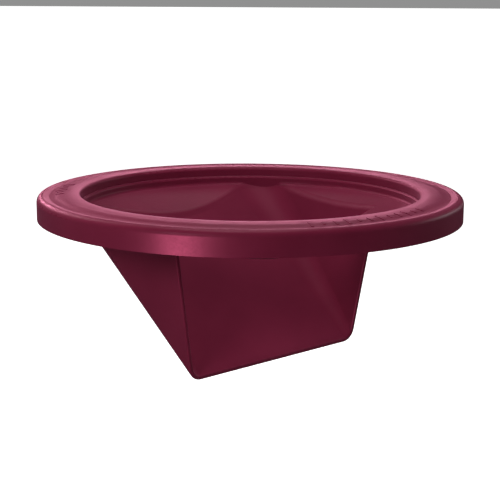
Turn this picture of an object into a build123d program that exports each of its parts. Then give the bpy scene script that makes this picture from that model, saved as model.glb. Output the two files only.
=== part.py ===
from build123d import *
import math
import os

# Round catch bowl with a sloping side-exit chute.
# Frame: +Z up, origin on the ring's axis, level with the skirt's lower edge. The chute opens towards -Y.

# rim ring: a downturned channel whose top carries a groove and a bead near its outer edge
RIM_R = 305.0            # outer radius of the skirt
RIM_H = 35.5             # height of the skirt edge to the flat of the top
CREST_R = 243.0          # radius of the ring's inner wall
FLAT_R = 266.0           # the flat of the top ends here and falls to the groove
CROWN = 0.6              # rise of the flat's middle
GROOVE_R = 287.0         # radius of the groove's bottom
GROOVE_DROP = 3.2        # depth of the groove below the flat
BEAD_R = 296.0           # radius of the bead's top
BEAD_DROP = 1.6          # the bead's top lies this far below the flat
OUTER_ROUND = 9.0        # rounding between bead and skirt
INNER_ROUND = 4.5        # rounding between top and inner wall
RING_SKIN = 5.5          # thickness of the ring's walls
CHAMFER_IN = 4.0         # chamfer inside the ring, under the outer rounding

# bowl pan
SEAM_Z = 21.5            # the ring's inner wall stands on the pan's flange at this height
FLANGE_R = 297.0         # outer radius of the pan's flange
PAN_T = 5.0              # thickness of the pan
WALL_OUT = 6.0           # thickness of the pan's upright wall
LEDGE_ROUND = 4.0        # rounding of the ledge that shows below the ring's inner wall
PAN_R = 240.0            # radius of the pan's short upright wall
SHELF_Z = 9.0            # height of the conical shelf where it meets the upright wall
SHELF_SLOPE = 0.30       # fall of the shelf per unit of radius
COVE = 5.0               # inside rounding between upright wall and shelf
COVE_TOP = 3.5           # the cove starts this far above the shelf's edge
COVE_MID = (1.2, 0.5)    # middle of the cove, in from the wall and up from the shelf's edge

# chute
LIP_Z = -201.0           # height of the exit lip
LIP_Y = -58.0            # position of the exit lip
LIP_HALF = 156.0         # half width of the floor at the lip
FLOOR_SLOPE = 0.86       # rise of the floor per unit of Y
SIDE_FLARE = 0.19        # widening of each side wall per unit of height
WINDOW_LEAN = 0.055      # forward lean of the exit plane per unit of height
CORNER_LIP = 12.0        # corner radius in plan at the lip's height
CORNER_TOP = 60.0        # corner radius in plan at the height of the skirt's lower edge
BRIM_ROUND = 12.0        # rounding where the shelf turns down into the hopper
CHUTE_T = 6.0            # thickness of floor and side walls
CORNER_GROW = 1.2        # growth of the corner radius per unit of wall thickness
JOINT_FLANGE = 20.0      # width of the bonding flange round the chute's top
JOINT_T = 5.0            # thickness of the bonding flange
EDGE_ROUND = 2.2         # rounding of the exit's cut edges

# fixings: screws driven up through the pan's flange into bosses under the ring
SCREW_COUNT = 8
SCREW_PCD_R = 272.0
SCREW_R = 2.5
SCREW_LEN = 11.0         # thread above the flange's underside
HEAD_R = 5.0
HEAD_H = 3.0
DRIVE_W = 1.1
DRIVE_LEN = 5.4
DRIVE_DEPTH = 1.6
CLEAR_R = 2.8            # hole in the pan's flange
BOSS_R = 7.0
SCREW_GAP = 0.05         # radial gap between screw and boss hole
HOLE_SPARE = 1.0         # depth of the boss hole past the screw's end
HEAD_ROUND = 1.4         # rounding of the screw head's lower edge

# plain raised bars on the ring's top, in groups: centre angle and number of bars
BAR_GROUPS = [(44.0, 8), (136.0, 6), (-97.0, 12)]
BAR_PITCH = 3.6          # degrees between bars
BAR_LENGTHS = (18.0, 9.0, 13.0)
BAR_W = 4.6
BAR_RISE = 0.6
BAR_R = 272.0            # radius at the middle of the bars
BAR_CORNER = 1.6         # rounding of a bar's corners in plan

WELD = 1.0               # overlap that joins solids which would only touch
TOP_Z = 60.0             # working height above everything
LOW_Z = -217.0           # working height below the chute
BRIM_LOW_Z = -150.0      # working height well below the brim
FRONT_Y = -400.0         # working limit in front of the exit
BIG = 400.0              # working reach to the sides and the back
MARGIN = 20.0            # how far working solids reach past the working heights
NEAR = 0.1               # how near a point counts as lying on a surface
ALONG_EDGE = (0.1, 0.5, 0.9)    # where along an edge its place is tested


def turned(profile):
    """Solid of revolution about Z from a closed profile drawn in the XZ plane."""
    return revolve(make_face(profile), Axis.Z)


def rim_profile():
    skin = RING_SKIN
    quarter = math.sqrt(0.5)
    shoulder_in = CREST_R + INNER_ROUND
    mid = (FLAT_R + shoulder_in) / 2
    groove_z = RIM_H - GROOVE_DROP
    bead_z = RIM_H - BEAD_DROP
    out_c = (BEAD_R, 0, bead_z - OUTER_ROUND)
    in_c = (shoulder_in, 0, RIM_H - INNER_ROUND)
    outward = (1, 0, 0)
    outside = [
        Line((RIM_R, 0, 0), (RIM_R, 0, out_c[2])),
        ThreePointArc((RIM_R, 0, out_c[2]),
                      (out_c[0] + OUTER_ROUND * quarter, 0, out_c[2] + OUTER_ROUND * quarter),
                      (BEAD_R, 0, bead_z)),
        Spline((GROOVE_R, 0, groove_z), (BEAD_R, 0, bead_z), tangents=[outward, outward]),
        Spline((FLAT_R, 0, RIM_H), (GROOVE_R, 0, groove_z), tangents=[outward, outward]),
        ThreePointArc((FLAT_R, 0, RIM_H), (mid, 0, RIM_H + CROWN), (shoulder_in, 0, RIM_H)),
        ThreePointArc((shoulder_in, 0, RIM_H),
                      (in_c[0] - INNER_ROUND * quarter, 0, in_c[2] + INNER_ROUND * quarter),
                      (CREST_R, 0, in_c[2])),
        Line((CREST_R, 0, in_c[2]), (CREST_R, 0, SEAM_Z)),
    ]
    roof = RIM_H - skin
    low_roof = groove_z - skin
    inside = Polyline(
        (CREST_R, 0, SEAM_Z), (CREST_R + skin, 0, SEAM_Z), (CREST_R + skin, 0, roof), (FLAT_R, 0, roof),
        (GROOVE_R, 0, low_roof), (BEAD_R, 0, low_roof), (RIM_R - skin, 0, low_roof - CHAMFER_IN),
        (RIM_R - skin, 0, 0), (RIM_R, 0, 0))
    return outside + [inside]


def raised_bars(ring):
    """Low bars that follow the ring's top: slices of the same ring, lifted a little."""
    lifted = Pos(0, 0, BAR_RISE) * ring
    low = RIM_H - RING_SKIN + BAR_RISE
    slices = []
    for centre, count in BAR_GROUPS:
        for i in range(count):
            length = BAR_LENGTHS[i % len(BAR_LENGTHS)]
            angle = centre + (i - (count - 1) / 2) * BAR_PITCH
            outline = RectangleRounded(length, BAR_W, BAR_CORNER)
            block = extrude(Rot(0, 0, angle) * Pos(BAR_R, 0, 0) * outline, amount=RIM_H)
            slices.append(lifted & (Pos(0, 0, low - GROOVE_DROP) * block))
    return slices


def screw_places():
    step = 360.0 / SCREW_COUNT
    return [Rot(0, 0, step * (i + 0.5)) * Pos(SCREW_PCD_R, 0, 0) for i in range(SCREW_COUNT)]


def make_rim_ring():
    ring = turned(rim_profile())
    bars = raised_bars(ring)
    roof = RIM_H - GROOVE_DROP - RING_SKIN
    boss_h = roof + 2 * WELD - SEAM_Z
    for place in screw_places():
        ring += place * Pos(0, 0, SEAM_Z + boss_h / 2) * Cylinder(BOSS_R, boss_h)
    for bar in bars:
        ring += bar
    hole_h = SCREW_LEN - PAN_T + HOLE_SPARE
    for place in screw_places():
        ring -= place * Pos(0, 0, SEAM_Z + hole_h / 2) * Cylinder(SCREW_R + SCREW_GAP, hole_h)
    return ring


def shelf_z(radius):
    return SHELF_Z - SHELF_SLOPE * (PAN_R - radius)


def under_z(radius):
    """Height of the pan's underside below the shelf."""
    return shelf_z(radius) - PAN_T * math.sqrt(1 + SHELF_SLOPE ** 2)


def make_pan_blank():
    quarter = math.sqrt(0.5)
    lc = (PAN_R + LEDGE_ROUND, 0, SEAM_Z - LEDGE_ROUND)
    cove_in = PAN_R - COVE
    upper = [
        Line((FLANGE_R, 0, SEAM_Z), (lc[0], 0, SEAM_Z)),
        ThreePointArc((lc[0], 0, SEAM_Z),
                      (lc[0] - LEDGE_ROUND * quarter, 0, lc[2] + LEDGE_ROUND * quarter),
                      (PAN_R, 0, lc[2])),
        Line((PAN_R, 0, lc[2]), (PAN_R, 0, SHELF_Z + COVE_TOP)),
        ThreePointArc((PAN_R, 0, SHELF_Z + COVE_TOP),
                      (PAN_R - COVE_MID[0], 0, SHELF_Z + COVE_MID[1]),
                      (cove_in, 0, shelf_z(cove_in))),
        Line((cove_in, 0, shelf_z(cove_in)), (0, 0, shelf_z(0))),
    ]
    outer = PAN_R + WALL_OUT
    lower = Polyline(
        (0, 0, shelf_z(0)), (0, 0, under_z(0)), (outer, 0, under_z(outer)),
        (outer, 0, SEAM_Z - PAN_T), (FLANGE_R, 0, SEAM_Z - PAN_T), (FLANGE_R, 0, SEAM_Z))
    return turned(upper + [lower])


def plan_section(z, grow):
    """Plan outline of the hopper at a height; grow is the wall thickness added outside."""
    slope_angle = math.atan(FLOOR_SLOPE)
    half = LIP_HALF + SIDE_FLARE * (z - LIP_Z) + grow * math.sqrt(1 + SIDE_FLARE ** 2)
    back = LIP_Y + (z - LIP_Z) / FLOOR_SLOPE + grow / math.sin(slope_angle)
    r = CORNER_LIP + (CORNER_TOP - CORNER_LIP) * (z - LIP_Z) / (0 - LIP_Z) + grow * CORNER_GROW
    k = r * (1 - math.sqrt(0.5))
    wire = Wire([
        Edge.make_line((-half, FRONT_Y, z), (half, FRONT_Y, z)),
        Edge.make_line((half, FRONT_Y, z), (half, back - r, z)),
        Edge.make_three_point_arc((half, back - r, z), (half - k, back - k, z), (half - r, back, z)),
        Edge.make_line((half - r, back, z), (-half + r, back, z)),
        Edge.make_three_point_arc((-half + r, back, z), (-half + k, back - k, z),
                                  (-half, back - r, z)),
        Edge.make_line((-half, back - r, z), (-half, FRONT_Y, z)),
    ])
    return Face(wire)


def hopper_volume(grow):
    """Tapering volume between two plan sections, ruled so that floor and sides are flat."""
    return loft([plan_section(LOW_Z, grow), plan_section(TOP_Z, grow)], ruled=True)


def window_y(z):
    return LIP_Y - WINDOW_LEAN * (z - LIP_Z)


def behind_window():
    """Everything behind the leaning exit plane."""
    low = LOW_Z - MARGIN
    high = TOP_Z + MARGIN
    outline = Polyline((0, window_y(low), low), (0, BIG, low),
                       (0, BIG, high), (0, window_y(high), high), close=True)
    return extrude(make_face(outline), amount=BIG, dir=(1, 0, 0), both=True)


def column(radius):
    return Pos(0, 0, (TOP_Z + LOW_Z) / 2) * Cylinder(radius, TOP_Z - LOW_Z + 3 * MARGIN)


def shelf_block():
    """A plain block under the shelf's surface, carried on past the pan's wall."""
    outline = Polyline((0, 0, shelf_z(0)), (BIG, 0, shelf_z(BIG)),
                       (BIG, 0, BRIM_LOW_Z), (0, 0, BRIM_LOW_Z), close=True)
    return revolve(make_face(outline), Axis.Z)


def brim_edges(block):
    """Edges where the hopper's walls meet the shelf's surface."""
    found = []
    for edge in block.edges():
        points = [edge @ t for t in ALONG_EDGE]
        on_shelf = all(abs(p.Z - shelf_z(math.hypot(p.X, p.Y))) < NEAR for p in points)
        in_window = all(abs(p.Y - window_y(p.Z)) < NEAR for p in points)
        if on_shelf and not in_window and math.hypot(points[1].X, points[1].Y) < BIG - NEAR:
            found.append(edge)
    return found


def throat():
    """The way through the pan's shelf into the hopper, with its rounded brim."""
    straight = hopper_volume(0) & behind_window()
    block = shelf_block()
    cut = block - straight
    rounded = fillet(brim_edges(cut), BRIM_ROUND)
    return (straight + (block - rounded)) & column(PAN_R)


def under_pan(drop):
    """Everything lower than the pan's underside by drop, as a cone."""
    far = RIM_R
    profile = Polyline((0, 0, under_z(0) - drop), (far, 0, under_z(far) - drop),
                       (far, 0, LOW_Z - 2 * MARGIN), (0, 0, LOW_Z - 2 * MARGIN), close=True)
    return revolve(make_face(profile), Axis.Z)


def make_bowl_pan(way):
    pan = make_pan_blank() - way
    for place in screw_places():
        pan -= place * Pos(0, 0, SEAM_Z - PAN_T / 2) * Cylinder(CLEAR_R, 2 * PAN_T)
    return pan


def make_joint_flange():
    half = LIP_HALF + SIDE_FLARE * (0 - LIP_Z) + CHUTE_T + JOINT_FLANGE
    back = LIP_Y - LIP_Z / FLOOR_SLOPE + CHUTE_T + JOINT_FLANGE
    front = window_y(0) - JOINT_FLANGE
    depth = back - front
    outline = Pos(0, (back + front) / 2, 0) * RectangleRounded(2 * half, depth, CORNER_TOP + JOINT_FLANGE)
    prism = Pos(0, 0, LOW_Z) * extrude(outline, amount=TOP_Z - LOW_Z)
    slab = under_pan(0) - under_pan(JOINT_T * math.sqrt(1 + SHELF_SLOPE ** 2))
    return prism & slab & column(PAN_R + CHUTE_T)


def exit_edges(shell):
    """Edges of the walls that lie in the leaning exit plane."""
    found = []
    for edge in shell.edges():
        points = [edge @ t for t in ALONG_EDGE]
        if all(abs(p.Y - window_y(p.Z)) < NEAR for p in points) and points[1].Z < TOP_Z - NEAR:
            found.append(edge)
    return found


def make_chute(way):
    walls = (hopper_volume(CHUTE_T) - hopper_volume(0)) & behind_window()
    walls = fillet(exit_edges(walls), EDGE_ROUND)
    body = walls & column(PAN_R + CHUTE_T) & under_pan(0)
    return (body + make_joint_flange()) - way


def make_screws():
    head = Pos(0, 0, SEAM_Z - PAN_T - HEAD_H / 2) * Cylinder(HEAD_R, HEAD_H)
    head = fillet(head.faces().sort_by(Axis.Z)[0].edges(), HEAD_ROUND)
    shank = Pos(0, 0, SEAM_Z - PAN_T + SCREW_LEN / 2) * Cylinder(SCREW_R, SCREW_LEN)
    screw = head + shank
    slot_z = SEAM_Z - PAN_T - HEAD_H + DRIVE_DEPTH / 2
    for turn in (0, 90):
        screw -= Pos(0, 0, slot_z) * Rot(0, 0, turn) * Box(DRIVE_LEN, DRIVE_W, DRIVE_DEPTH)
    return Compound(children=[place * screw for place in screw_places()])


def main():
    os.makedirs("parts", exist_ok=True)
    export_step(make_rim_ring(), "parts/rim_ring.step")
    way = throat()
    export_step(make_bowl_pan(way), "parts/bowl_pan.step")
    export_step(make_chute(way), "parts/chute.step")
    export_step(make_screws(), "parts/rim_screws.step")


main()
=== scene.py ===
import math

import bpy
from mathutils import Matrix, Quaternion, Vector


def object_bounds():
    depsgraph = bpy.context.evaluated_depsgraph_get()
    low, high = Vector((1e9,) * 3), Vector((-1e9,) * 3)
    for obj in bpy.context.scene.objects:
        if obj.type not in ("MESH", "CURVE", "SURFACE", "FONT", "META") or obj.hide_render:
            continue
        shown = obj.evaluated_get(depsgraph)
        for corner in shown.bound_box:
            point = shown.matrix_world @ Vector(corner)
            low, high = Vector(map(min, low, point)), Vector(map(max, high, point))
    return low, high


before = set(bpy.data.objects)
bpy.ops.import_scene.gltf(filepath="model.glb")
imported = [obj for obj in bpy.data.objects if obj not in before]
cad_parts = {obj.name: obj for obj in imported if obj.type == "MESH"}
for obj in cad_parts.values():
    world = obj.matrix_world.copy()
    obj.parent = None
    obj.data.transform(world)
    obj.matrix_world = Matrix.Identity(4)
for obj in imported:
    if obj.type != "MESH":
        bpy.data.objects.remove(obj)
cad_box = [list(c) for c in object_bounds()]

# lengths are in metres, angles in radians, lamp powers in watts
RIM_R = 0.305                # the rim's outer radius
RIM_TOP = 0.0355             # height of the rim's flat top
CHUTE_LOW = cad_box[0][2]    # height of the chute's lowest point

# ---------------------------------------------------------------- camera
EXIT_TURN = 0.7491           # how far round from the exit the camera stands
CAM_OUT = 6.0 * RIM_R        # level distance from the rim's axis
CAM_UP = 0.948 * RIM_R       # height above the rim's top
CAM_PITCH = 0.2033           # how far the camera looks down
CAM_ROLL = 0.0053
CAM_LENS = 92.34             # focal length in millimetres
SENSOR_WIDTH = 36.0          # millimetres
VIEW_END = 50.0              # clipping distance
CAM_RIGHT = Vector((math.cos(EXIT_TURN), -math.sin(EXIT_TURN), 0.0))
CAM_AWAY = Vector((math.sin(EXIT_TURN), math.cos(EXIT_TURN), 0.0))


def studio(right, away, up):
    """A place in the room, measured from the rim's centre along the camera's right, away and up."""
    return CAM_RIGHT * right + CAM_AWAY * away + Vector((0, 0, up))


def make_camera():
    cam = bpy.data.objects.new("camera", bpy.data.cameras.new("camera"))
    bpy.context.scene.collection.objects.link(cam)
    cam.location = studio(0, -CAM_OUT, RIM_TOP + CAM_UP)
    ahead = CAM_AWAY * math.cos(CAM_PITCH) - Vector((0, 0, math.sin(CAM_PITCH)))
    cam.rotation_mode = "QUATERNION"
    cam.rotation_quaternion = ahead.to_track_quat("-Z", "Y") @ Quaternion((0, 0, 1), CAM_ROLL)
    cam.data.lens = CAM_LENS
    cam.data.sensor_width = SENSOR_WIDTH
    cam.data.clip_end = VIEW_END
    bpy.context.scene.camera = cam


# ---------------------------------------------------------------- materials
MAROON_DARK = (0.150, 0.0105, 0.0330)
MAROON_LIGHT = (0.180, 0.0140, 0.0410)
PLASTIC_IOR = 1.45
PLASTIC_SPECULAR = 0.13
PLASTIC_SPECULAR_TINT = (1.0, 0.45, 0.62, 1.0)
SHEEN_WEIGHT = 0.16
SHEEN_ROUGHNESS = 0.5
SHEEN_TINT = (1.0, 0.32, 0.52, 1.0)
GRAIN_SHARE = 0.35           # share of the fine grain in the gloss, the rest is cloud
ZINC_DARK = (0.50, 0.50, 0.52)
ZINC_LIGHT = (0.64, 0.64, 0.66)


def new_material(name):
    mat = bpy.data.materials.new(name)
    mat.use_nodes = True
    tree = mat.node_tree
    bsdf = tree.nodes["Principled BSDF"]
    return mat, tree, bsdf


def node(tree, kind, **settings):
    made = tree.nodes.new(kind)
    for key, value in settings.items():
        if key in made.inputs:
            made.inputs[key].default_value = value
        else:
            setattr(made, key, value)
    return made


def ramp(tree, source, stops):
    made = tree.nodes.new("ShaderNodeValToRGB")
    bar = made.color_ramp
    while len(bar.elements) < len(stops):
        bar.elements.new(0.5)
    for element, (place, value) in zip(bar.elements, stops):
        element.position = place
        element.color = value if len(value) == 4 else (*value, 1.0)
    tree.links.new(source, made.inputs["Fac"])
    return made.outputs["Color"]


def grey(value):
    return (value, value, value, 1.0)


def moulded_plastic(name, seed):
    """Deep maroon moulded plastic: faint mottling, uneven gloss and a slight orange peel."""
    mat, tree, bsdf = new_material(name)
    link = tree.links.new
    place = node(tree, "ShaderNodeTexCoord").outputs["Object"]
    shift = node(tree, "ShaderNodeMapping")
    shift.inputs["Location"].default_value = (seed, seed * 1.7, seed * 0.6)
    link(place, shift.inputs["Vector"])
    where = shift.outputs["Vector"]
    cloud = node(tree, "ShaderNodeTexNoise", Scale=9.0, Detail=4.0, Roughness=0.55)
    link(where, cloud.inputs["Vector"])
    grain = node(tree, "ShaderNodeTexNoise", Scale=420.0, Detail=3.0, Roughness=0.6)
    link(where, grain.inputs["Vector"])
    peel = node(tree, "ShaderNodeTexNoise", Scale=95.0, Detail=2.0, Roughness=0.5)
    link(where, peel.inputs["Vector"])
    wave = node(tree, "ShaderNodeTexNoise", Scale=14.0, Detail=2.0, Roughness=0.5)
    link(where, wave.inputs["Vector"])
    tone = ramp(tree, cloud.outputs["Fac"], [(0.3, MAROON_DARK), (0.7, MAROON_LIGHT)])
    link(tone, bsdf.inputs["Base Color"])
    gloss = node(tree, "ShaderNodeMix", data_type="RGBA", blend_type="MIX")
    gloss.inputs[0].default_value = GRAIN_SHARE
    cloud_gloss = ramp(tree, cloud.outputs["Fac"], [(0.3, grey(0.34)), (0.7, grey(0.44))])
    grain_gloss = ramp(tree, grain.outputs["Fac"], [(0.3, grey(0.30)), (0.75, grey(0.50))])
    link(cloud_gloss, gloss.inputs[6])
    link(grain_gloss, gloss.inputs[7])
    link(gloss.outputs[2], bsdf.inputs["Roughness"])
    bump_wave = node(tree, "ShaderNodeBump", Strength=0.25, Distance=0.0016)
    link(wave.outputs["Fac"], bump_wave.inputs["Height"])
    bump_peel = node(tree, "ShaderNodeBump", Strength=0.18, Distance=0.0005)
    link(peel.outputs["Fac"], bump_peel.inputs["Height"])
    link(bump_wave.outputs["Normal"], bump_peel.inputs["Normal"])
    bump_grain = node(tree, "ShaderNodeBump", Strength=0.10, Distance=0.0002)
    link(grain.outputs["Fac"], bump_grain.inputs["Height"])
    link(bump_peel.outputs["Normal"], bump_grain.inputs["Normal"])
    link(bump_grain.outputs["Normal"], bsdf.inputs["Normal"])
    bsdf.inputs["IOR"].default_value = PLASTIC_IOR
    bsdf.inputs["Specular IOR Level"].default_value = PLASTIC_SPECULAR
    bsdf.inputs["Specular Tint"].default_value = PLASTIC_SPECULAR_TINT
    bsdf.inputs["Sheen Weight"].default_value = SHEEN_WEIGHT
    bsdf.inputs["Sheen Roughness"].default_value = SHEEN_ROUGHNESS
    bsdf.inputs["Sheen Tint"].default_value = SHEEN_TINT
    return mat


def zinc(name):
    """Zinc-plated steel with a fine, uneven finish."""
    mat, tree, bsdf = new_material(name)
    link = tree.links.new
    place = node(tree, "ShaderNodeTexCoord").outputs["Object"]
    fine = node(tree, "ShaderNodeTexNoise", Scale=900.0, Detail=2.0)
    link(place, fine.inputs["Vector"])
    tone = ramp(tree, fine.outputs["Fac"], [(0.3, ZINC_DARK), (0.7, ZINC_LIGHT)])
    gloss = ramp(tree, fine.outputs["Fac"], [(0.3, grey(0.28)), (0.7, grey(0.45))])
    link(tone, bsdf.inputs["Base Color"])
    link(gloss, bsdf.inputs["Roughness"])
    bsdf.inputs["Metallic"].default_value = 1.0
    return mat


def paint(name, mat):
    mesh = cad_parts[name].data
    mesh.materials.clear()
    mesh.materials.append(mat)


# ---------------------------------------------------------------- floor and lights
FLOOR_Z = CHUTE_LOW - 0.30
FLOOR_SIZE = 400.0           # wide enough to reach the horizon
SKY_STRENGTH = 0.40
GLINT_TINT = (1.0, 0.36, 0.53)


def make_floor():
    """A pale floor that glows by itself, so that the picture's ground stays white."""
    bpy.ops.mesh.primitive_plane_add(size=FLOOR_SIZE, location=(0, 0, FLOOR_Z))
    floor = bpy.context.object
    floor.name = "floor"
    mat, tree, bsdf = new_material("studio_floor")
    link = tree.links.new
    place = node(tree, "ShaderNodeTexCoord").outputs["Object"]
    fine = node(tree, "ShaderNodeTexNoise", Scale=6.0, Detail=3.0)
    link(place, fine.inputs["Vector"])
    tone = ramp(tree, fine.outputs["Fac"], [(0.3, grey(0.93)), (0.7, grey(0.96))])
    link(tone, bsdf.inputs["Base Color"])
    bsdf.inputs["Roughness"].default_value = 1.0
    bsdf.inputs["Specular IOR Level"].default_value = 0.0
    bsdf.inputs["Emission Color"].default_value = grey(1.0)
    bsdf.inputs["Emission Strength"].default_value = 1.0
    floor.data.materials.append(mat)
    floor.visible_glossy = False
    floor.visible_diffuse = False


def area_light(name, spot, width, power, height):
    """A rectangular lamp aimed at the middle of the rim."""
    data = bpy.data.lights.new(name, "AREA")
    data.energy = power
    data.shape = "RECTANGLE"
    data.size = width
    data.size_y = height
    lamp = bpy.data.objects.new(name, data)
    lamp.location = spot
    lamp.rotation_mode = "QUATERNION"
    lamp.rotation_quaternion = (-spot).to_track_quat("-Z", "Y")
    bpy.context.scene.collection.objects.link(lamp)
    return lamp


def glint(name, spot, width, power, height):
    """A pink lamp that shows only as a highlight: the material itself doesn't carry this tint."""
    lamp = area_light(name, spot, width, power, height)
    lamp.data.color = GLINT_TINT
    lamp.visible_diffuse = False
    lamp.visible_camera = False


def make_world():
    """A soft room, bright up to a third of the way to the zenith, that shows in no reflection."""
    world = bpy.data.worlds.new("studio")
    bpy.context.scene.world = world
    world.use_nodes = True
    tree = world.node_tree
    back = tree.nodes["Background"]
    place = node(tree, "ShaderNodeTexCoord").outputs["Generated"]
    split = node(tree, "ShaderNodeSeparateXYZ")
    tree.links.new(place, split.inputs[0])
    sky = ramp(tree, split.outputs["Z"],
               [(0.0, grey(0.7)), (0.05, grey(1.0)), (0.40, grey(1.0)), (0.5, grey(0.0))])
    tree.links.new(sky, back.inputs["Color"])
    back.inputs["Strength"].default_value = SKY_STRENGTH
    world.cycles_visibility.glossy = False


bpy.context.scene.view_settings.view_transform = "Standard"
make_camera()
paint("rim_ring", moulded_plastic("rim_maroon", 0.0))
paint("bowl_pan", moulded_plastic("pan_maroon", 3.1))
paint("chute", moulded_plastic("chute_maroon", 7.4))
paint("rim_screws", zinc("screw_zinc"))
make_floor()
make_world()
area_light("front_left", studio(-1.10, -1.70, 0.75), 0.5, 15, 0.6)
area_light("back_high", studio(0.2, 1.9, 2.0), 1.2, 4, 1.0)
area_light("back_left", studio(-1.8, 1.3, 1.8), 1.2, 12, 1.0)
area_light("back_right", studio(2.4, 1.25, 0.45), 1.6, 9, 0.25)
area_light("overhead", studio(-0.2, 0.2, 2.4), 1.4, 34, 1.4)
glint("glint_front_left", studio(-1.05, -1.64, -0.36), 0.6, 95, 0.22)
glint("glint_back_left", studio(-1.7, 3.3, 1.1), 0.8, 26, 0.4)
glint("glint_left", studio(-2.2, 2.2, 1.5), 0.8, 20, 0.6)
glint("glint_back", studio(0.0, 3.6, 0.85), 1.6, 18, 0.3)
